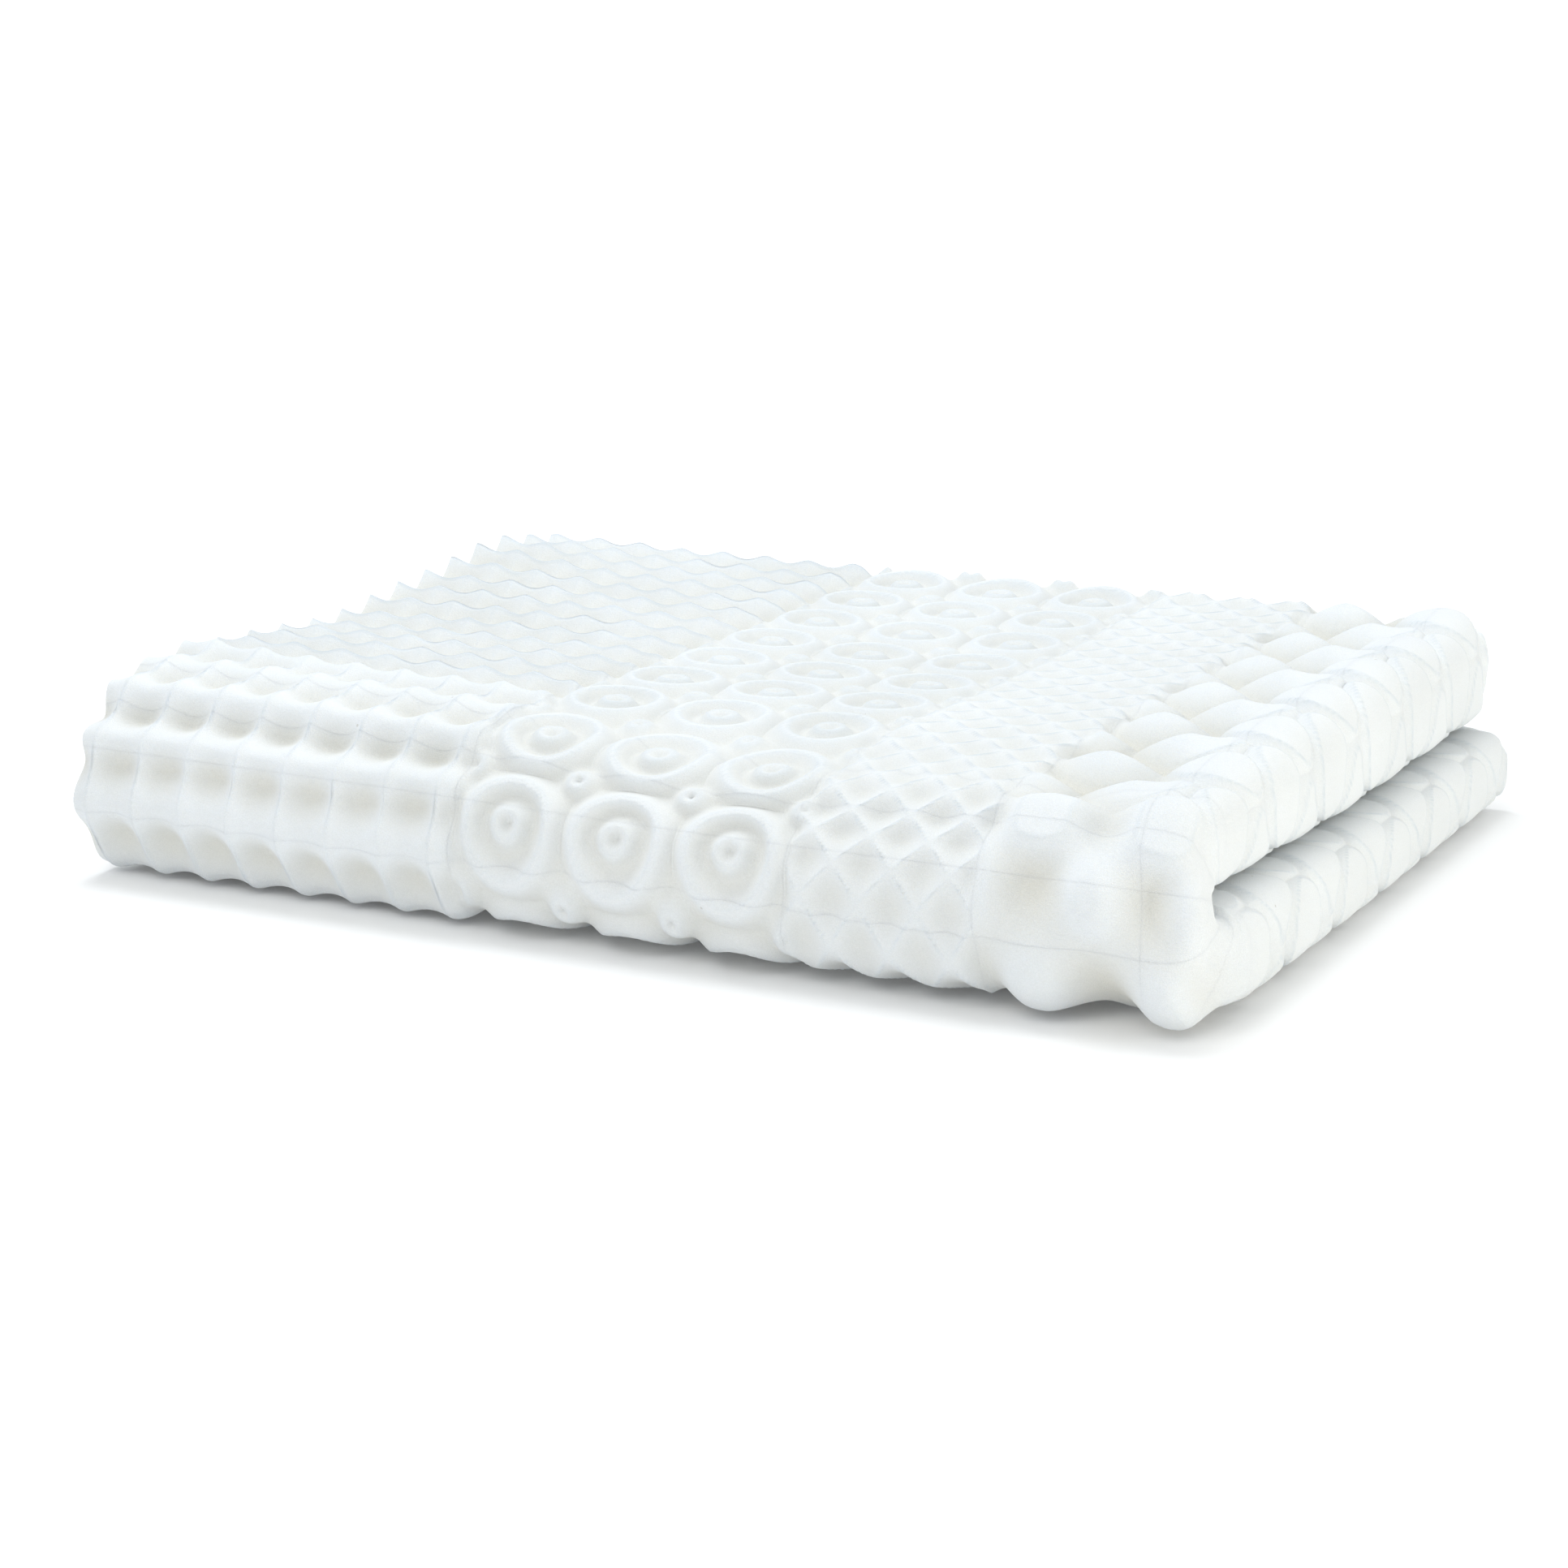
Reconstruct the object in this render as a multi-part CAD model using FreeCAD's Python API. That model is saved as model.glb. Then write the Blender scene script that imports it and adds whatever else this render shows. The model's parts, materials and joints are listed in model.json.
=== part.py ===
"""Seven-zone profiled foam pad, folded in quarters.

The flat pad is one foam slab with a bumpy face and a plain back. It is folded crosswise first,
back to back, and then lengthwise, so that four layers lie on each other with the bumps outside.
X runs from the cut ends to the crosswise folds, Y from the lengthwise fold to the open edges,
and Z up. The origin is the centre of the folded pad's footprint, on the surface it lies on.
Each solid reaches to the tips of the bumps. The lengthwise fold is half of a regular polygon,
whose strips turn about the corners on its outside as the upper half opens.
"""
import math
import os

import FreeCAD
import Part

# Driving dimensions, in millimetres.
FOLDED_LENGTH = 1010.0
FOLDED_DEPTH = 822.0
FOLDED_HEIGHT = 184.0
MEETING_CLEARANCE = 1.0  # between each half and the plane where the two halves meet
STRIP_COUNT = 4  # turning strips in the lengthwise fold
WAFFLE_LENGTH = 375.0
RING_LENGTH = 300.0
FINE_DIAMOND_LENGTH = 160.0
PARTS_FOLDER = "parts"

# Places that follow from the driving dimensions.
CUT_END_X = -FOLDED_LENGTH / 2
LOOP_TIP_X = FOLDED_LENGTH / 2
OPEN_EDGE_Y = FOLDED_DEPTH / 2
MEETING_Z = FOLDED_HEIGHT / 2
LAYER = (MEETING_Z - MEETING_CLEARANCE) / 2
BACK_DISTANCE = MEETING_CLEARANCE + LAYER  # from the meeting plane to where two backs touch
LOOP_CENTRE_X = LOOP_TIP_X - LAYER
STRIP_TURN = math.pi / (STRIP_COUNT + 1)
CORNER_SCALE = 1 / math.cos(STRIP_TURN / 2)  # a polygon's corner radius over its flats' radius
BEND_CENTRE_Y = -FOLDED_DEPTH / 2 + MEETING_Z * CORNER_SCALE


def zone_spans():
    """Name, start and end of each zone along X, from the cut ends to the crosswise folds."""
    ring_x = CUT_END_X + WAFFLE_LENGTH
    fine_x = ring_x + RING_LENGTH
    broad_x = fine_x + FINE_DIAMOND_LENGTH
    return (
        ("waffle", CUT_END_X, ring_x),
        ("ring", ring_x, fine_x),
        ("fine_diamond", fine_x, broad_x),
        ("broad_diamond", broad_x, LOOP_CENTRE_X),
    )


def bend_point(corner, distance):
    """A corner of the lengthwise fold: corner 0 lies lowest, and distance is its flats' radius."""
    angle = (corner + 0.5) * STRIP_TURN - math.pi / 2
    radius = distance * CORNER_SCALE
    return (BEND_CENTRE_Y - radius * math.cos(angle), MEETING_Z + radius * math.sin(angle))


def half_section(corner, near, far):
    """Outline of a flat layer, between two distances from the meeting plane."""
    near_front = bend_point(corner, near)
    far_front = bend_point(corner, far)
    return [near_front, far_front, (OPEN_EDGE_Y, far_front[1]), (OPEN_EDGE_Y, near_front[1])]


def strip_section(strip, near, far):
    """Outline of one strip of the bend, between two distances from the centre of the bend."""
    first = strip - 1
    return [
        bend_point(first, near),
        bend_point(first, far),
        bend_point(strip, far),
        bend_point(strip, near),
    ]


def prism(outline, start_x, end_x):
    """A closed solid with one outline in Y and Z, from start_x to end_x."""
    corners = [FreeCAD.Vector(start_x, y, z) for y, z in outline]
    face = Part.Face(Part.makePolygon(corners + corners[:1]))
    return face.extrude(FreeCAD.Vector(end_x - start_x, 0, 0))


def end_loop(outline, axis_point, axis_direction):
    """The rounded end where a pair of layers turns back on itself at the crosswise fold."""
    reach = FOLDED_DEPTH
    direction = FreeCAD.Vector(0, *axis_direction)
    middle = FreeCAD.Vector(LOOP_CENTRE_X, *axis_point)
    roller = Part.makeCylinder(LAYER, 2 * reach, middle - direction * reach, direction)
    return prism(outline, LOOP_CENTRE_X, LOOP_TIP_X).common(roller)


def half_solids(name, corner, side):
    """Layers and end loop of one half: side is -1 below the meeting plane and 1 above it."""
    layers = {
        "outer": half_section(corner, BACK_DISTANCE, MEETING_Z),
        "inner": half_section(corner, MEETING_CLEARANCE, BACK_DISTANCE),
    }
    solids = {}
    for layer, outline in layers.items():
        for zone, start_x, end_x in zone_spans():
            solids[f"{name}_{layer}_{zone}_zone"] = prism(outline, start_x, end_x)
    pair = half_section(corner, MEETING_CLEARANCE, MEETING_Z)
    back_z = MEETING_Z + side * BACK_DISTANCE
    solids[f"{name}_end_loop"] = end_loop(pair, (0, back_z), (1, 0))
    return solids


def strip_solids(strip):
    """One strip of the lengthwise fold: outer sheet by zone, inner sheet, and rounded end."""
    solids = {}
    outer = strip_section(strip, BACK_DISTANCE, MEETING_Z)
    for zone, start_x, end_x in zone_spans():
        solids[f"fold_strip_{strip}_outer_{zone}"] = prism(outer, start_x, end_x)
    inner = strip_section(strip, MEETING_CLEARANCE, BACK_DISTANCE)
    solids[f"fold_strip_{strip}_inner"] = prism(inner, CUT_END_X, LOOP_CENTRE_X)
    angle = strip * STRIP_TURN - math.pi / 2
    axis_point = (
        BEND_CENTRE_Y - BACK_DISTANCE * math.cos(angle),
        MEETING_Z + BACK_DISTANCE * math.sin(angle),
    )
    axis_direction = (math.sin(angle), math.cos(angle))
    pair = strip_section(strip, MEETING_CLEARANCE, MEETING_Z)
    solids[f"fold_strip_{strip}_end_loop"] = end_loop(pair, axis_point, axis_direction)
    return solids


def all_solids():
    """Every node's solid by name."""
    solids = half_solids("lower", 0, -1)
    for strip in range(1, STRIP_COUNT + 1):
        solids.update(strip_solids(strip))
    solids.update(half_solids("upper", STRIP_COUNT, 1))
    return solids


def main():
    os.makedirs(PARTS_FOLDER, exist_ok=True)
    for name, solid in all_solids().items():
        if not solid.isValid() or len(solid.Solids) != 1:
            raise RuntimeError(f"{name} is not one valid solid")
        solid.Solids[0].exportStep(os.path.join(PARTS_FOLDER, f"{name}.step"))
    for corner in range(STRIP_COUNT + 1):
        y, z = bend_point(corner, MEETING_Z)
        print(f"hinge {corner + 1}: y {y:.3f} mm, z {z:.3f} mm")


main()
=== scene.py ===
"""Looks of the quarter-folded, zoned foam pad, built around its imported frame.

The pad is one foam slab with a bumpy face and a plain back, folded crosswise back to back and then
lengthwise. A point of its face has a place along the sheet (from the cut ends out along X, round the
end loop and back on the inner layer) and a station across it (from the lower open edge, through the
lengthwise fold, to the upper open edge). Lengths are in millimetres until a mesh is written.
"""
import json
import math

import bpy
import numpy as np
from mathutils import Matrix, Vector


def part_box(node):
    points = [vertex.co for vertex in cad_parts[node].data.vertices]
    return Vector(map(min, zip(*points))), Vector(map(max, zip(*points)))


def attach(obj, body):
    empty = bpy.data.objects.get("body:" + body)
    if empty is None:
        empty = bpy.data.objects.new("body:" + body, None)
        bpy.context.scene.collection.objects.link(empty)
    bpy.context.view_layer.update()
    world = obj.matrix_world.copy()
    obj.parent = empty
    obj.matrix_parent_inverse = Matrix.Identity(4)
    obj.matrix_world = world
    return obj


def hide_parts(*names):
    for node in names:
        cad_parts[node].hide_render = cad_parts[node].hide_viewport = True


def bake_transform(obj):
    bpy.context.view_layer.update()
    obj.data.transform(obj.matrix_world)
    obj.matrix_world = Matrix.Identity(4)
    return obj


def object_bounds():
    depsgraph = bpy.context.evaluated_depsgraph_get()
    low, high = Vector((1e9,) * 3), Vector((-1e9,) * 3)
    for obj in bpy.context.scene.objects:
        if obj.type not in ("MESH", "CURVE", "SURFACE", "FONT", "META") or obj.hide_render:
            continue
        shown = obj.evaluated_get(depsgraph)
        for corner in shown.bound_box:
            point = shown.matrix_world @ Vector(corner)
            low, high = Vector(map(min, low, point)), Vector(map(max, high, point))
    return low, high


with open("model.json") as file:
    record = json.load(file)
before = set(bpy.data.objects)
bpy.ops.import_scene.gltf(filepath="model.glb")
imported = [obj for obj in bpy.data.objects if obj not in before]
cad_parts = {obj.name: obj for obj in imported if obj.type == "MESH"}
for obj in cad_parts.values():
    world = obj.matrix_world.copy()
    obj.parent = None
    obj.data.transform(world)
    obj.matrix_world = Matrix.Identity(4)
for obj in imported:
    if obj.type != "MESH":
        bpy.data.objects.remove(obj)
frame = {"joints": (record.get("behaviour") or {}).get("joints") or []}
cad_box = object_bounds()

MM = 0.001  # metres in a millimetre

# The folded pad's places, read from the frame.
ZONES = ("waffle", "ring", "fine_diamond", "broad_diamond")
ZONE_BOXES = {zone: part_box(f"upper_outer_{zone}_zone") for zone in ZONES}
MEETING_Z = (cad_box[0].z + cad_box[1].z) / 2 / MM
BACK_RADIUS = ZONE_BOXES["waffle"][0].z / MM - MEETING_Z  # where the two backs touch
LOOP_CENTRE_X = ZONE_BOXES["broad_diamond"][1].x / MM
LAYER = cad_box[1].x / MM - LOOP_CENTRE_X
CUT_END_X = cad_box[0].x / MM
OPEN_EDGE_Y = cad_box[1].y / MM
HINGES = [Vector(joint["pos_m"]) / MM for joint in frame["joints"]]
STRIP_TURN = math.pi / len(HINGES)
BEND_CENTRE_Y = cad_box[0].y / MM + MEETING_Z / math.cos(STRIP_TURN / 2)

# Stations: 0 is the front of the lengthwise fold, positive on the upper side.
FLAT_START = MEETING_Z * math.pi / 2
OPEN_STATION = FLAT_START + OPEN_EDGE_Y - BEND_CENTRE_Y
RIGID_MARGIN = 10.0  # flat foam beyond the bend that still belongs to the fold's pieces
SHEET_APEX = LOOP_CENTRE_X + LAYER * math.pi / 2
SHEET_END = LOOP_CENTRE_X + LAYER * math.pi

# Kinds of a piece's faces.
BUMPY = 0
CUT = 1

# Mesh density.
RELIEF_STEP = 3.0
BACK_STEP = 15.0
SLOPE_STEP = 0.4  # either side of a point, when its slope is measured

# Section of the fold: how far the tips stand from the meeting plane or the bend's centre.
LOWER_TIPS = 92.0
UPPER_TIPS = 88.0
LOW_BULGE = 20.0  # how far the lower part of the fold stands further out
HIGH_HOLLOW = 14.0  # and how far its upper part stands further in
BULGE_TURN = math.radians(50)
BULGE_SPREAD = math.radians(30)
INNER_TIPS = 1.0
INNER_FOLD_RADIUS = 13.0
INNER_FOLD_SHARPNESS = 1.5
STRETCH_FADE = 15.0  # how gently the stretch of the face begins and ends
# The fold stretches the face: share of stretch, and the stations between which it acts.
STRETCHES = ((0.22, FLAT_START + 50, -FLAT_START - 50), (0.14, -10.0, -FLAT_START - 20))
NOSE_FULLNESS = 0.78  # 1 is a round end loop, and less is a squarer one
FACING_FULLNESS = 0.55  # the same on the side where the two loops face each other
UPPER_LOOP_SHIFT = -12.0  # how far each loop stands out along X
LOWER_LOOP_SHIFT = 11.0
SHIFT_START_X = 250.0
DROOP = 14.0  # how far the upper loop sags on to the lower one at the back
DROOP_START_X = 330.0
DROOP_START_Y = -340.0
DROOP_LENGTH_Y = 420.0

# Gentle swells of the upper side, each with its centre, its spread and its height.
SWELLS = (
    ((80, 60), (230, 270), -11),
    ((100, -320), (210, 85), -18),
    ((-505, -30), (130, 85), -11),
    ((-505, 270), (110, 95), 16),
    ((-505, -240), (100, 38), 6),
    ((-300, -60), (140, 150), -5),
    ((50, 430), (260, 32), 12),
    ((450, 100), (100, 230), 9),
    ((400, -270), (90, 75), -10),
    ((420, 400), (120, 60), 9),
)

# Pattern of the face. A pitch is the distance between repeats, a start is one repeat's place, and a
# level is how far a zone's crests stay below the tips.
ROW_PITCH = 48.2
ROW_START = -214.0
RING_PITCH_X = 99.5
RING_START_X = -80.0
WAFFLE_PITCH_X = 49.3
WAFFLE_START_X = -288.0
# Depth and sharpness of the waffle's rows, the same of its columns, and the depth of its pits.
WAFFLE_TOP = (17.5, 1.1, 5.5, 1.5, 1.5)
WAFFLE_FOLD = (6.5, 2.0, 5.0, 1.0, 9.0)  # where the lengthwise fold stretches the face
WAFFLE_FOLD_START = -196.0
WAFFLE_FOLD_LENGTH = 70.0
RING_LEVEL = 6.0
RING_VALLEY = 12.0
# A round crest: its height, and its radius and inner and outer widths in ring pitches.
OUTER_RING = (12.5, 0.375, 0.065, 0.085)
INNER_RING = (10.5, 0.11, 0.06, 0.055)
SMALL_BUMP = (10, 0.075, 0.05, 0.06)
DIMPLE_WIDTH = 0.04
RING_DIMPLE_RISE = 1.5  # height in the middle of an inner ring
SMALL_DIMPLE_RISE = 3  # and of a small bump
FINE_LEVEL = 6.0
FINE_DEPTH = 8.0
FINE_START_X = 183.0
FINE_ROW_START = -209.0
BROAD_START_X = 370.0
BROAD_ROW_START = -342.0
BROAD_ROW_PITCH = 120.5
# The broad hills' flats are leaf-shaped: half length, half width, roundness, and slope round them.
LEAF_LENGTH = 44.0
LEAF_WIDTH = 31.0
LEAF_ROUNDNESS = 1.5
LEAF_SLOPE = 20.0
BROAD_VALLEY = 20.0
BROAD_PEAK = 16.0  # how far the hills rise above their flats' edges on the upper side
BROAD_DOME = 1.5  # and elsewhere
# Where the lengthwise fold stretches them, they are round hills, pressed flat near the top.
FOLD_DEPTH = 26.0
FOLD_FLAT = (0.18, 0.85)  # height of the flats in the upper and lower rows of the fold
FOLD_FLAT_START = -352.0
FOLD_FLAT_LENGTH = 40.0
FOLD_EDGE = 0.03  # how round the edges of these flats are
ROUND_START_Y = -290.0  # where the round hills begin, across the pad
ROUND_END_Y = -540.0
ROUND_FADE = 60.0
PEAK_END_X = 405.0  # where the peaks of the upper side have died out
DEEPEST = 24.0  # depth at which the painted shade of the pits is full
LOOP_CALM = 0.45  # share of the relief that the end loops stretch out
FOLD_CALM = 0.85  # share that the inner layer's tight fold takes away
FOLD_CALM_LENGTH = 40.0  # how far beyond the bend it still acts
CREST_REACH = 2.6  # distance at which a crest is compared with its sides
CREST_HEIGHT = 0.9  # how far a sharp crest stands above them
# painted shade along sharp crests: a thin darker, bluish line
CREST_SHADE_TINT = (0.82, 0.86, 0.90)
FOLD_CREST_SHADE_FADE = 0.6  # share of the painted crest shade that the stretched fold loses
ZONE_BLEND = 12.0  # half of the stretch over which one zone turns into the next
# The pattern runs a little askew: its shift along X for each millimetre across the pad.
WAFFLE_DRIFT = 0.034
RING_DRIFT = -0.010
DRIFT_CENTRE = 50.0
WAFFLE_FOLD_DRIFT = -15.0  # a further shift that builds up across the fold
FOLD_DRIFT_LENGTH = 190.0
# Unevenness of the cut, as waves: height, lengths along and across the sheet, and phase.
WANDER_X = ((1.2, math.inf, 37, 0.6), (0.8, 53, 91, 0))
WANDER_Y = ((1.1, 41, math.inf, 1.9), (0.8, -119, 67, 0))
UNEVEN_SHARE = 0.05
UNEVEN_ALONG = ((1, 71, math.inf, 0.4),)
UNEVEN_ACROSS = ((1, math.inf, 83, 1.1),)

# Foam colours on the tips and in the hollows, where the darker, warmer colour is painted shade, and the
# depth of the grain in metres.
FOAM_LOOKS_WITH_PAINTED_SHADE = (
    ("foam_skin", (0.80, 0.825, 0.84), (0.73, 0.72, 0.665), 0.0006),
    ("foam_cut", (0.76, 0.76, 0.73), (0.73, 0.72, 0.665), 0.0010),
)
HOLLOW_START = 0.2  # share of the deepest hollow at which the painted shade of the hollows begins
CLOUD = (9, 3, (0.35, (0.965, 0.965, 0.96)), (0.65, (1, 1, 1)))  # scale per metre, detail, two stops
GRAIN = (900, 2, (0.3, (0.94, 0.94, 0.935)), (0.7, (1, 1, 1)))
PINHOLE_SCALE = 14
PINHOLE_SIZE = 0.02
# painted shade inside the pinholes
PINHOLE_SHADE_TINT = (0.80, 0.78, 0.74)
PINHOLE_DEPTH = 2.0
ROUGHNESS_SCALE = 300
ROUGHNESS_LEAST = 0.84
ROUGHNESS_RANGE = 0.12
SPECULAR_LEVEL = 0.25
SUBSURFACE_WEIGHT = 0.25
SUBSURFACE_RADIUS = (1.0, 0.9, 0.75)
SUBSURFACE_SCALE = 0.004
CELL_SCALE = 1300
SURFACE_SCALE = 450
SURFACE_DETAIL = 4
BUMP_STRENGTH = 0.5
MIX_INPUTS = (0, 6, 7)  # a colour mix node's sockets: its factor and its two colours
MIX_RESULT = 2

# Studio. Lengths here are in metres, and powers in watts.
FLOOR_ALBEDO = 0.94
FLOOR_ROUGHNESS = 0.9
FLOOR_REACH = 90.0
FLOOR_DROP = 0.0004
GLOW_REACH = 5.0  # the floor's glow is given by the share of this distance from the pad
GLOW_STOPS = ((0.16, 0.04), (0.6, 0.5))
SURROUNDINGS = ((0.95, 0.98, 1.0), 0.70)
LIGHTS = (
    ("overhead", (-0.5, 0.3, 2.6), 2.2, 41, (0.94, 0.97, 1.0)),
    ("front", (0.2, -2.4, 1.9), 1.6, 15, (1.0, 0.99, 0.97)),
    ("warm_side", (2.7, -0.3, 0.45), 1.4, 19, (1.0, 0.93, 0.76)),
)

# Camera.
CAMERA_PLACE = (1.2720, -2.5408, 0.7674)
CAMERA_TURN = math.radians(27.143)
CAMERA_TILT = math.radians(14.068)
CAMERA_ROLL = math.radians(0.196)
CAMERA_LENS = 75.47
SENSOR_WIDTH = 36.0
CAMERA_FAR_END = 300.0


def smooth(value):
    """0 to 1 with flat ends."""
    value = np.clip(value, 0, 1)
    return value * value * (3 - 2 * value)


def bell(distance, width):
    """1 at no distance, falling off over a width."""
    return np.exp(-((distance / width) ** 2) / 2)


def soft_ramp(value):
    """0 below zero and the value itself above, with a rounded corner."""
    return np.logaddexp(0, value)


def turn_at(station):
    """Angle round the lengthwise fold: -90 degrees on the lower side and 90 on the upper."""
    return np.clip(station / FLAT_START, -1, 1) * math.pi / 2


def outer_tips(station):
    """Distance of the outer tips from the meeting plane or the bend's centre."""
    turn = turn_at(station)
    low = LOW_BULGE * np.exp(-(((turn + BULGE_TURN) / BULGE_SPREAD) ** 2))
    high = HIGH_HOLLOW * np.exp(-(((turn - BULGE_TURN) / BULGE_SPREAD) ** 2))
    level = (UPPER_TIPS + LOWER_TIPS) / 2 + (UPPER_TIPS - LOWER_TIPS) / 2 * np.sin(turn)
    return level + np.cos(turn) * (low - high)


def inner_tips(station):
    """Distance of the inner tips from the meeting plane or the bend's centre."""
    return INNER_TIPS + INNER_FOLD_RADIUS * np.cos(turn_at(station)) ** INNER_FOLD_SHARPNESS


def swell(x, y):
    """How far the upper side stands above or below its level."""
    height = np.zeros(np.broadcast(x, y).shape)
    for (centre_x, centre_y), (spread_x, spread_y), rise in SWELLS:
        reach = ((x - centre_x) / spread_x) ** 2 + ((y - centre_y) / spread_y) ** 2
        height = height + rise * np.exp(-reach)
    return height


def folded_point(x, station, radius):
    """A point of the folded pad, at a distance from the meeting plane or the bend's centre."""
    turn = turn_at(station)
    run = np.maximum(np.abs(station) - FLAT_START, 0)
    y = BEND_CENTRE_Y + run - radius * np.cos(turn)
    rise = radius * np.sin(turn)
    lift = np.maximum(rise, 0) / UPPER_TIPS * swell(x, y)
    side = np.sin(turn)
    shift = (UPPER_LOOP_SHIFT - LOWER_LOOP_SHIFT) / 2 * side
    shift = shift + (UPPER_LOOP_SHIFT + LOWER_LOOP_SHIFT) / 2
    shift = shift * smooth((x - SHIFT_START_X) / (LOOP_CENTRE_X - SHIFT_START_X))
    droop = DROOP * smooth((x - DROOP_START_X) / (LOOP_CENTRE_X - DROOP_START_X))
    droop = droop * smooth((y - DROOP_START_Y) / DROOP_LENGTH_Y)
    droop = droop * np.maximum(1 - (rise / MEETING_Z) ** 2, 0)
    return np.stack(np.broadcast_arrays(x + shift, y, MEETING_Z + rise + lift - droop), axis=-1)


def across_pad(station):
    """Place across the pad's face. It equals Y on the upper side, and the fold stretches the face."""
    across = BEND_CENTRE_Y - FLAT_START + station
    for share, upper, lower in STRETCHES:
        gained = soft_ramp((upper - station) / STRETCH_FADE) - soft_ramp((lower - station) / STRETCH_FADE)
        across = across + share * STRETCH_FADE * gained
    return across


def waffle_depth(x, across):
    """Rows of pits between sharp crests that rise and fall, softer across the fold."""
    fold = smooth((WAFFLE_FOLD_START - across) / WAFFLE_FOLD_LENGTH)
    row_depth, row_power, column_depth, column_power, pit_depth = (
        top * (1 - fold) + bent * fold for top, bent in zip(WAFFLE_TOP, WAFFLE_FOLD)
    )
    columns = np.abs(np.cos(math.pi * (x - WAFFLE_START_X) / WAFFLE_PITCH_X)) ** column_power
    rows = np.abs(np.cos(math.pi * (across - ROW_START) / ROW_PITCH)) ** row_power
    return row_depth * rows + column_depth * columns + pit_depth * rows * columns


def ring_distance(x, across, shift):
    """Distance from the nearest ring centre, in ring pitches; shift moves the centres by its share."""
    cell_x = (x - RING_START_X) / RING_PITCH_X + shift
    cell_y = (across - ROW_START) / (2 * ROW_PITCH) + shift
    return np.hypot(cell_x - np.round(cell_x), cell_y - np.round(cell_y))


def round_crest(distance, height, radius, inner_width, outer_width):
    """Height of a round crest at a distance from its centre."""
    return height * bell(distance - radius, np.where(distance < radius, inner_width, outer_width))


def ring_depth(x, across):
    """Bumps with two round crests about a dimple, and small bumps between them."""
    large = ring_distance(x, across, 0)
    small = ring_distance(x, across, 0.5)
    outer = round_crest(large, *OUTER_RING)
    inner = round_crest(large, *INNER_RING) + RING_DIMPLE_RISE * bell(large, DIMPLE_WIDTH)
    bump = round_crest(small, *SMALL_BUMP) + SMALL_DIMPLE_RISE * bell(small, DIMPLE_WIDTH)
    return RING_LEVEL + np.maximum(RING_VALLEY - outer - inner - bump, 0)


def fine_depth(x, across):
    """Small diamond pits in a net of crests."""
    along_wave = np.cos(4 * math.pi * (x - FINE_START_X) / RING_PITCH_X)
    across_wave = np.cos(2 * math.pi * (across - FINE_ROW_START) / ROW_PITCH)
    return FINE_LEVEL + FINE_DEPTH * np.abs(along_wave + across_wave) / 2


def leaf_depth(x, across):
    """Broad hills in a checkerboard: leaf-shaped flats with a crisp edge, peaked on the upper side."""
    level = np.full(np.broadcast(x, across).shape, -np.inf)
    for shift in (0, 0.5):
        cell_x = (x - BROAD_START_X) / RING_PITCH_X + shift
        cell_y = (across - BROAD_ROW_START) / BROAD_ROW_PITCH + shift
        reach_x = np.abs(cell_x - np.round(cell_x)) * RING_PITCH_X / LEAF_LENGTH
        reach_y = np.abs(cell_y - np.round(cell_y)) * BROAD_ROW_PITCH / LEAF_WIDTH
        level = np.maximum(level, 1 - reach_x ** LEAF_ROUNDNESS - reach_y ** LEAF_ROUNDNESS)
    valley = BROAD_VALLEY * (1 - np.exp(np.minimum(level, 0) * LEAF_SLOPE / BROAD_VALLEY))
    upper = smooth((PEAK_END_X - x) / ROUND_FADE + 1)
    rise = BROAD_DOME + (BROAD_PEAK - BROAD_DOME) * upper
    return valley + rise * (1 - np.maximum(level, 0))


def round_depth(x, across):
    """The same hills where the lengthwise fold stretches them."""
    along_wave = np.cos(2 * math.pi * (x - BROAD_START_X) / RING_PITCH_X)
    across_wave = np.cos(2 * math.pi * (across - BROAD_ROW_START) / BROAD_ROW_PITCH)
    lower_share = smooth((FOLD_FLAT_START - across) / FOLD_FLAT_LENGTH)
    flat = FOLD_FLAT[0] * (1 - lower_share) + FOLD_FLAT[1] * lower_share
    return FOLD_DEPTH / 2 * FOLD_EDGE * soft_ramp((flat - along_wave * across_wave) / FOLD_EDGE)


def broad_depth(x, across):
    """Broad hills, as they lie and where the lengthwise fold stretches them."""
    fold = smooth((ROUND_START_Y - across) / ROUND_FADE) * smooth((across - ROUND_END_Y) / ROUND_FADE)
    return leaf_depth(x, across) * (1 - fold) + round_depth(x, across) * fold


def waves(along, across, rows):
    """Sum of waves over the sheet: height, lengths along and across the sheet, and phase of each."""
    return sum(
        height * np.sin(along / length_along + across / length_across + phase)
        for height, length_along, length_across, phase in rows
    )


def face_depth(along, station):
    """Depth of the face below its tips, at a place along the sheet and a station across it."""
    across = across_pad(station)
    mirrored = SHEET_APEX - np.abs(SHEET_APEX - along)
    from_centre = np.clip(across - DRIFT_CENTRE, -OPEN_EDGE_Y, OPEN_EDGE_Y)
    waffle_drift = WAFFLE_DRIFT * from_centre
    waffle_drift = waffle_drift + WAFFLE_FOLD_DRIFT * smooth((ROW_START - across) / FOLD_DRIFT_LENGTH)
    drift = RING_DRIFT * from_centre
    wander_x = waves(along, across, WANDER_X)
    wander_y = waves(along, across, WANDER_Y)
    from_cut = mirrored - drift + wander_x
    sheet_x = along - drift + wander_x
    across = across + wander_y
    depth = waffle_depth(mirrored - waffle_drift + wander_x, across)
    next_depths = (
        ring_depth(from_cut, across),
        fine_depth(from_cut, across),
        broad_depth(sheet_x, across),
    )
    for zone, next_depth in zip(ZONES[1:], next_depths):
        border = ZONE_BOXES[zone][0].x / MM
        share = smooth((from_cut - border) / (2 * ZONE_BLEND) + 0.5)
        depth = depth * (1 - share) + next_depth * share
    uneven = waves(along, across, UNEVEN_ALONG) * waves(along, across, UNEVEN_ACROSS)
    return depth * (1 + UNEVEN_SHARE * uneven)


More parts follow.
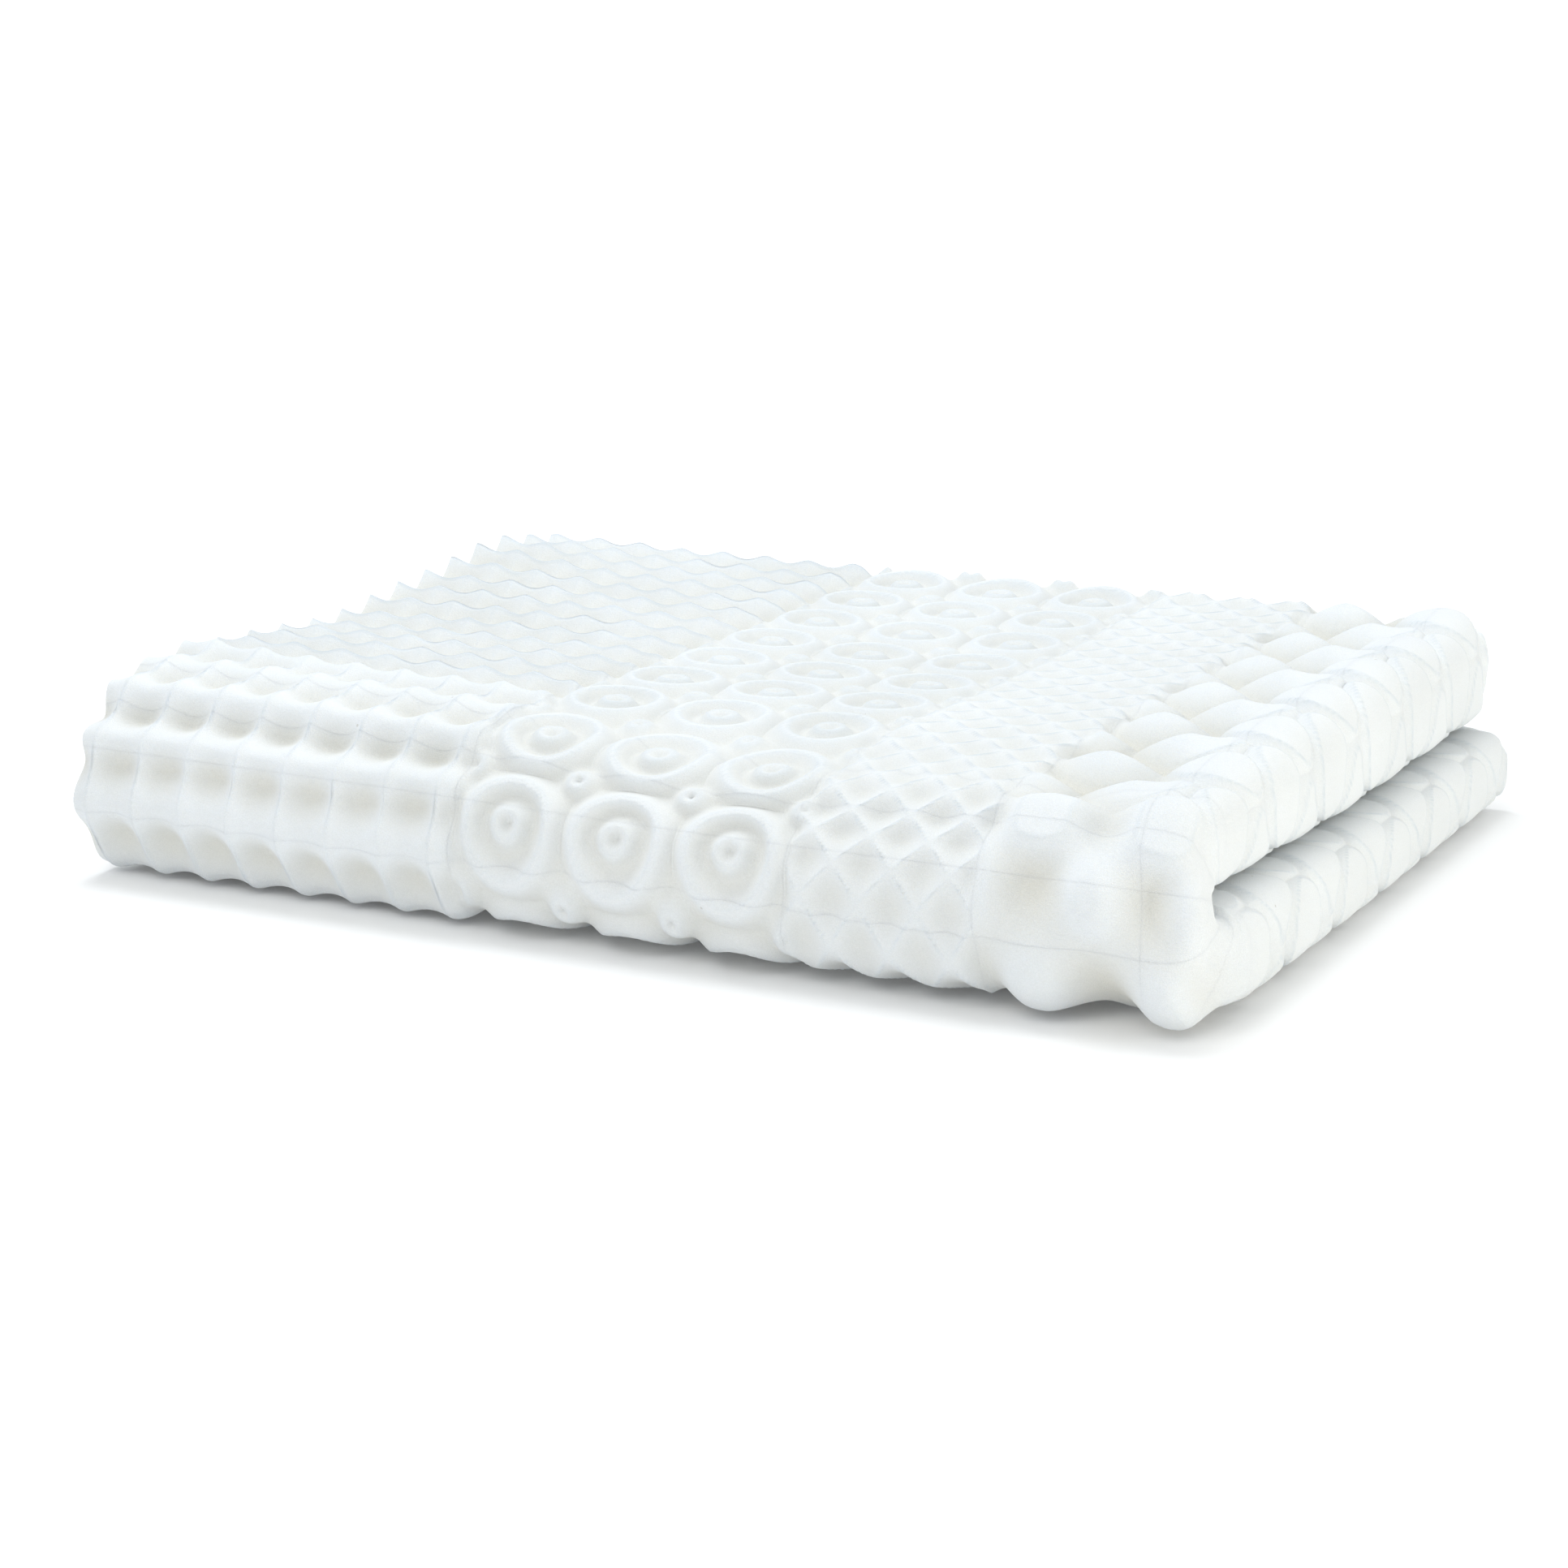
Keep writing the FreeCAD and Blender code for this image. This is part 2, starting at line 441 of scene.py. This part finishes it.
def flat_run(along):
    """How far before the end loop a place lies on its flat layer, as a negative distance along X."""
    return np.minimum(along - LOOP_CENTRE_X, 0) - np.maximum(along - SHEET_END, 0)


def face_point(along, station):
    """A point of the bumpy face, and its depth below the tips."""
    outer = outer_tips(station)
    inner = inner_tips(station)
    turn = np.clip((along - LOOP_CENTRE_X) / LAYER, 0, math.pi)
    calm = 1 - LOOP_CALM * smooth(2 * turn / math.pi)
    in_fold = smooth(1 - (np.abs(station) - FLAT_START) / FOLD_CALM_LENGTH)
    calm = calm * (1 - FOLD_CALM * in_fold * smooth(turn / math.pi))
    depth = face_depth(along, station) * calm
    fullness = np.where(turn < math.pi / 2, NOSE_FULLNESS, FACING_FULLNESS)
    reach = np.maximum(np.sin(turn), 0) ** fullness
    side = np.sign(np.cos(turn)) * np.abs(np.cos(turn)) ** fullness
    x = LOOP_CENTRE_X + flat_run(along) + (LAYER - depth) * reach
    radius = (outer + inner) / 2 + ((outer - inner) / 2 - depth) * side
    return folded_point(x, station, radius), depth


def crest_shade_at(along, station):
    """Where painted shade goes along crests: 1 on the line of a sharp crest, and 0 on a slope, on a flat
    or in a pit.
    """
    middle = face_depth(along, station)
    around = np.zeros(middle.shape)
    for step_along, step_aside in ((1, 0), (-1, 0), (0, 1), (0, -1)):
        around += face_depth(along + step_along * CREST_REACH, station + step_aside * CREST_REACH) / 4
    stretched = FOLD_CREST_SHADE_FADE * np.cos(turn_at(station)) ** 2
    return np.clip((around - middle) / CREST_HEIGHT, 0, 1) * (1 - stretched)


def face_normal(along, station):
    """Outward normal of the bumpy face."""
    ahead = face_point(along + SLOPE_STEP, station)[0] - face_point(along - SLOPE_STEP, station)[0]
    aside = face_point(along, station + SLOPE_STEP)[0] - face_point(along, station - SLOPE_STEP)[0]
    normal = np.cross(ahead, aside)
    return normal / np.linalg.norm(normal, axis=-1, keepdims=True)


def steps(start, end, step):
    """Even samples from start to end, both included."""
    return np.linspace(start, end, max(2, round(abs(end - start) / step) + 1))


class Shell:
    """Vertices and faces of one closed piece of foam."""

    def __init__(self):
        self.points = []
        self.faces = []
        self.kinds = []
        self.count = 0

    def add_grid(self, points):
        """Adds a grid of points and returns their numbers, in the same rows and columns."""
        rows, columns = points.shape[:2]
        numbers = np.arange(rows * columns).reshape(rows, columns) + self.count
        self.points.append(points.reshape(-1, 3))
        self.count += rows * columns
        return numbers

    def add_quads(self, numbers, kind, reverse=False):
        """Adds a quad in each cell of a grid of numbers."""
        corners = [numbers[:-1, :-1], numbers[1:, :-1], numbers[1:, 1:], numbers[:-1, 1:]]
        if reverse:
            corners = corners[::-1]
        quads = np.stack(corners, axis=-1).reshape(-1, 4)
        self.faces.extend(quads.tolist())
        self.kinds.extend([kind] * len(quads))

    def add_wall(self, *edges):
        """Adds one many-sided face round a cut."""
        self.faces.append(np.concatenate(edges).tolist())
        self.kinds.append(CUT)


def sheet_shell(along, stations):
    """Closed solid of one layer: the bumpy face, the plain back, and cut sides."""
    shell = Shell()
    places, across = np.meshgrid(along, stations, indexing="ij")
    face, depth = face_point(places, across)
    face_numbers = shell.add_grid(face)
    back_stations = steps(stations[0], stations[-1], BACK_STEP)
    back_x, back_across = np.meshgrid(LOOP_CENTRE_X + flat_run(along), back_stations, indexing="ij")
    back_numbers = shell.add_grid(folded_point(back_x, back_across, BACK_RADIUS))
    shell.add_quads(face_numbers, BUMPY)
    shell.add_quads(back_numbers, CUT, reverse=True)
    shell.add_wall(face_numbers[0], back_numbers[0][::-1])
    shell.add_wall(face_numbers[-1][::-1], back_numbers[-1])
    first_side = np.stack([back_numbers[:, 0], face_numbers[:, 0]], axis=1)
    last_side = np.stack([face_numbers[:, -1], back_numbers[:, -1]], axis=1)
    shell.add_quads(first_side, CUT)
    shell.add_quads(last_side, CUT)
    return shell, depth, crest_shade_at(places, across), face_normal(places, across)


def loop_shell(stations):
    """Closed solid of the rounded end where two layers turn back at the crosswise fold."""
    shell = Shell()
    along = steps(LOOP_CENTRE_X, SHEET_END, RELIEF_STEP)
    places, across = np.meshgrid(along, stations, indexing="ij")
    face, depth = face_point(places, across)
    numbers = shell.add_grid(face)
    shell.add_quads(numbers, BUMPY)
    shell.add_wall(numbers[0], numbers[-1][::-1])
    shell.add_wall(numbers[::-1, 0])
    shell.add_wall(numbers[:, -1])
    return shell, depth, crest_shade_at(places, across), face_normal(places, across)


def foam_object(name, shell, depth, crest, normals, materials):
    """Writes a shell as a mesh object, with the face's own normals, and its depth and crest lines for the
    material's painted shade.
    """
    points = np.concatenate(shell.points)
    mesh = bpy.data.meshes.new(name)
    mesh.from_pydata((points * MM).tolist(), [], shell.faces)
    for material in materials:
        mesh.materials.append(material)
    kinds = np.array(shell.kinds)
    mesh.polygons.foreach_set("material_index", kinds.astype(np.int32))
    mesh.polygons.foreach_set("use_smooth", kinds == BUMPY)
    mesh.update()

    for label, values in (("hollow", depth / DEEPEST), ("crest", crest)):
        level = np.zeros(len(points), np.float32)
        level[: values.size] = values.reshape(-1)
        mesh.attributes.new(label, "FLOAT", "POINT").data.foreach_set("value", level)
    place = mesh.attributes.new("place", "FLOAT_VECTOR", "POINT")
    place.data.foreach_set("vector", (points * MM).astype(np.float32).reshape(-1))

    sizes = np.empty(len(mesh.polygons), np.int32)
    mesh.polygons.foreach_get("loop_total", sizes)
    flat_normals = np.empty(len(mesh.polygons) * 3, np.float32)
    mesh.polygons.foreach_get("normal", flat_normals)
    corner_points = np.empty(len(mesh.loops), np.int32)
    mesh.loops.foreach_get("vertex_index", corner_points)
    corner_normals = np.repeat(flat_normals.reshape(-1, 3), sizes, axis=0)
    on_face = np.repeat(kinds == BUMPY, sizes)
    corner_normals[on_face] = normals.reshape(-1, 3)[corner_points[on_face]]
    mesh.normals_split_custom_set(corner_normals.tolist())

    piece = bpy.data.objects.new(name, mesh)
    bpy.context.scene.collection.objects.link(piece)
    return piece


def node_math(tree, operation, *values):
    """A math node on its inputs, each a socket or a number."""
    node = tree.nodes.new("ShaderNodeMath")
    node.operation = operation
    for socket, value in zip(node.inputs, values):
        if isinstance(value, (int, float)):
            socket.default_value = value
        else:
            tree.links.new(value, socket)
    return node.outputs[0]


def noise(tree, place, scale, detail):
    """A noise pattern's value; scale is in features per metre."""
    node = tree.nodes.new("ShaderNodeTexNoise")
    node.inputs["Scale"].default_value = scale
    node.inputs["Detail"].default_value = detail
    tree.links.new(place, node.inputs["Vector"])
    return node.outputs["Fac"]


def cells(tree, place, scale):
    """Distance to the nearest cell centre; scale is in cells per metre."""
    node = tree.nodes.new("ShaderNodeTexVoronoi")
    node.inputs["Scale"].default_value = scale
    tree.links.new(place, node.inputs["Vector"])
    return node.outputs["Distance"]


def ramp(tree, value, stops):
    """A colour ramp from (place, colour) stops."""
    node = tree.nodes.new("ShaderNodeValToRGB")
    band = node.color_ramp
    for (position, colour), element in zip(stops, band.elements):
        element.position = position
        element.color = (*colour, 1)
    for position, colour in stops[len(band.elements):]:
        band.elements.new(position).color = (*colour, 1)
    tree.links.new(value, node.inputs["Fac"])
    return node.outputs["Color"]


def mixed(tree, blend, amount, first, second):
    """A colour mix of two sockets or colours."""
    node = tree.nodes.new("ShaderNodeMix")
    node.data_type = "RGBA"
    node.blend_type = blend
    for number, value in zip(MIX_INPUTS, (amount, first, second)):
        socket = node.inputs[number]
        if isinstance(value, (int, float)):
            socket.default_value = value
        elif isinstance(value, tuple):
            socket.default_value = (*value, 1)
        else:
            tree.links.new(value, socket)
    return node.outputs[MIX_RESULT]


def attribute(tree, name):
    """The node of a value that is kept on the mesh's points."""
    node = tree.nodes.new("ShaderNodeAttribute")
    node.attribute_name = name
    return node


def tint(tree, place, colour, scale, detail, *stops):
    """A colour multiplied by a noise pattern's colours."""
    pattern = ramp(tree, noise(tree, place, scale, detail), stops)
    return mixed(tree, "MULTIPLY", 1.0, colour, pattern)


def foam_material(name, tip_colour, shaded_pit_colour, grain_depth):
    """Open-cell foam: cell grain, sparse pinholes with painted shade inside them, painted shade that
    makes the hollows darker and warmer than the tips, and painted shade along sharp crests.
    """
    material = bpy.data.materials.new(name)
    material.use_nodes = True
    tree = material.node_tree
    shader = tree.nodes["Principled BSDF"]
    place = attribute(tree, "place").outputs["Vector"]
    hollow = attribute(tree, "hollow").outputs["Fac"]
    crest = attribute(tree, "crest").outputs["Fac"]

    # painted shade: the hollows turn darker and warmer with their depth
    colour = ramp(tree, hollow, [(HOLLOW_START, tip_colour), (1.0, shaded_pit_colour)])
    # painted shade along sharp crests
    colour = mixed(tree, "MULTIPLY", crest, colour, CREST_SHADE_TINT)
    colour = tint(tree, place, colour, *CLOUD)
    colour = tint(tree, place, colour, *GRAIN)
    pinhole = node_math(tree, "LESS_THAN", cells(tree, place, PINHOLE_SCALE), PINHOLE_SIZE)
    # painted shade: the pinholes are darkened
    colour = mixed(tree, "MULTIPLY", pinhole, colour, PINHOLE_SHADE_TINT)
    tree.links.new(colour, shader.inputs["Base Color"])

    pattern = noise(tree, place, ROUGHNESS_SCALE, 2)
    rough = node_math(tree, "MULTIPLY_ADD", pattern, ROUGHNESS_RANGE, ROUGHNESS_LEAST)
    tree.links.new(rough, shader.inputs["Roughness"])
    shader.inputs["Specular IOR Level"].default_value = SPECULAR_LEVEL
    shader.inputs["Subsurface Weight"].default_value = SUBSURFACE_WEIGHT
    shader.inputs["Subsurface Radius"].default_value = SUBSURFACE_RADIUS
    shader.inputs["Subsurface Scale"].default_value = SUBSURFACE_SCALE

    skin = noise(tree, place, SURFACE_SCALE, SURFACE_DETAIL)
    surface = node_math(tree, "ADD", cells(tree, place, CELL_SCALE), skin)
    surface = node_math(tree, "SUBTRACT", surface, node_math(tree, "MULTIPLY", pinhole, PINHOLE_DEPTH))
    bump = tree.nodes.new("ShaderNodeBump")
    bump.inputs["Strength"].default_value = BUMP_STRENGTH
    bump.inputs["Distance"].default_value = grain_depth
    tree.links.new(surface, bump.inputs["Height"])
    tree.links.new(bump.outputs["Normal"], shader.inputs["Normal"])
    return material


def finish_piece(nodes):
    """Hides the frame's parts that a piece of foam stands in for."""
    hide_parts(*nodes)


def half_pieces(half, side, materials):
    """The flat layers and the end loop of one half: side is -1 for the lower and 1 for the upper."""
    ends = sorted((side * (FLAT_START + RIGID_MARGIN), side * OPEN_STATION))
    stations = steps(*ends, RELIEF_STEP)
    for zone in ZONES:
        start_x, end_x = (corner.x / MM for corner in ZONE_BOXES[zone])
        outer = steps(start_x, end_x, RELIEF_STEP)
        inner = 2 * SHEET_APEX - outer[::-1]
        for layer, along in (("outer", outer), ("inner", inner)):
            node = f"{half}_{layer}_{zone}_zone"
            piece = foam_object(f"{node}_foam", *sheet_shell(along, stations), materials)
            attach(piece, f"{half}_half")
            finish_piece([node])
    node = f"{half}_end_loop"
    piece = foam_object(f"{node}_foam", *loop_shell(stations), materials)
    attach(piece, f"{half}_half")
    finish_piece([node])


def fold_limits(hinge):
    """First and last station of the foam that turns about one hinge."""
    span = 2 * FLAT_START / len(HINGES)
    start = (hinge - len(HINGES) / 2) * span
    end = (hinge + 1 - len(HINGES) / 2) * span
    if hinge == 0:
        start = -FLAT_START - RIGID_MARGIN
    if hinge == len(HINGES) - 1:
        end = FLAT_START + RIGID_MARGIN
    return start, end


def bend_foam(piece):
    """Bakes a piece's placement into its mesh."""
    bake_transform(piece)


def fold_pieces(materials):
    """The foam of the lengthwise fold, in one span for each hinge."""
    for hinge in range(len(HINGES)):
        stations = steps(*fold_limits(hinge), RELIEF_STEP)
        strips = [strip for strip in (hinge, hinge + 1) if 0 < strip < len(HINGES)]
        shells = {}
        for zone in ZONES:
            start_x, end_x = (corner.x / MM for corner in ZONE_BOXES[zone])
            shells[f"outer_{zone}"] = sheet_shell(steps(start_x, end_x, RELIEF_STEP), stations)
        inner_start = 2 * SHEET_APEX - LOOP_CENTRE_X
        inner_end = 2 * SHEET_APEX - CUT_END_X
        shells["inner"] = sheet_shell(steps(inner_start, inner_end, RELIEF_STEP), stations)
        shells["end_loop"] = loop_shell(stations)
        for part, shell in shells.items():
            piece = foam_object(f"fold_{hinge + 1}_{part}_foam", *shell, materials)
            bend_foam(piece)
            finish_piece([f"fold_strip_{strip}_{part}" for strip in strips])


def floor():
    """White floor, which glows more with its distance, so that it meets the surroundings evenly."""
    material = bpy.data.materials.new("studio_floor")
    material.use_nodes = True
    tree = material.node_tree
    shader = tree.nodes["Principled BSDF"]
    shader.inputs["Base Color"].default_value = (FLOOR_ALBEDO, FLOOR_ALBEDO, FLOOR_ALBEDO, 1)
    shader.inputs["Roughness"].default_value = FLOOR_ROUGHNESS
    shader.inputs["Emission Color"].default_value = (1, 1, 1, 1)
    place = tree.nodes.new("ShaderNodeTexCoord").outputs["Object"]
    distance = tree.nodes.new("ShaderNodeVectorMath")
    distance.operation = "LENGTH"
    tree.links.new(place, distance.inputs[0])
    far_share = node_math(tree, "MULTIPLY", distance.outputs["Value"], 1 / GLOW_REACH)
    glow = ramp(tree, far_share, [(share, (level, level, level)) for share, level in GLOW_STOPS])
    tree.links.new(glow, shader.inputs["Emission Strength"])

    signs = ((-1, -1), (1, -1), (1, 1), (-1, 1))
    corners = [(x * FLOOR_REACH, y * FLOOR_REACH, -FLOOR_DROP) for x, y in signs]
    mesh = bpy.data.meshes.new("studio_floor")
    mesh.from_pydata(corners, [], [(0, 1, 2, 3)])
    mesh.materials.append(material)
    plane = bpy.data.objects.new("studio_floor", mesh)
    bpy.context.scene.collection.objects.link(plane)


def lights():
    """Even pale surroundings, and large soft lights that face the pad."""
    scene = bpy.context.scene
    scene.view_settings.view_transform = "Standard"
    colour, strength = SURROUNDINGS
    world = bpy.data.worlds.new("studio_world")
    world.use_nodes = True
    background = world.node_tree.nodes["Background"]
    background.inputs["Color"].default_value = (*colour, 1)
    background.inputs["Strength"].default_value = strength
    scene.world = world
    for name, place, size, power, colour in LIGHTS:
        light = bpy.data.lights.new(name, "AREA")
        light.shape = "DISK"
        light.size = size
        light.energy = power
        light.color = colour
        lamp = bpy.data.objects.new(name, light)
        lamp.location = place
        lamp.rotation_euler = (-Vector(place)).to_track_quat("-Z", "Y").to_euler()
        scene.collection.objects.link(lamp)


def camera():
    """Long lens, low over the front right corner."""
    forward = Vector((
        -math.sin(CAMERA_TURN) * math.cos(CAMERA_TILT),
        math.cos(CAMERA_TURN) * math.cos(CAMERA_TILT),
        -math.sin(CAMERA_TILT),
    ))
    level_right = Vector((math.cos(CAMERA_TURN), math.sin(CAMERA_TURN), 0))
    level_up = level_right.cross(forward)
    right = level_right * math.cos(CAMERA_ROLL) + level_up * math.sin(CAMERA_ROLL)
    up = level_up * math.cos(CAMERA_ROLL) - level_right * math.sin(CAMERA_ROLL)
    lens = bpy.data.cameras.new("camera")
    lens.lens = CAMERA_LENS
    lens.sensor_width = SENSOR_WIDTH
    lens.clip_end = CAMERA_FAR_END
    view = bpy.data.objects.new("camera", lens)
    place = Matrix((right, up, -forward)).transposed().to_4x4()
    place.translation = Vector(CAMERA_PLACE)
    view.matrix_world = place
    bpy.context.scene.collection.objects.link(view)
    bpy.context.scene.camera = view


camera()
floor()
lights()
foam = [foam_material(*foam_look) for foam_look in FOAM_LOOKS_WITH_PAINTED_SHADE]
half_pieces("lower", -1, foam)
fold_pieces(foam)
half_pieces("upper", 1, foam)
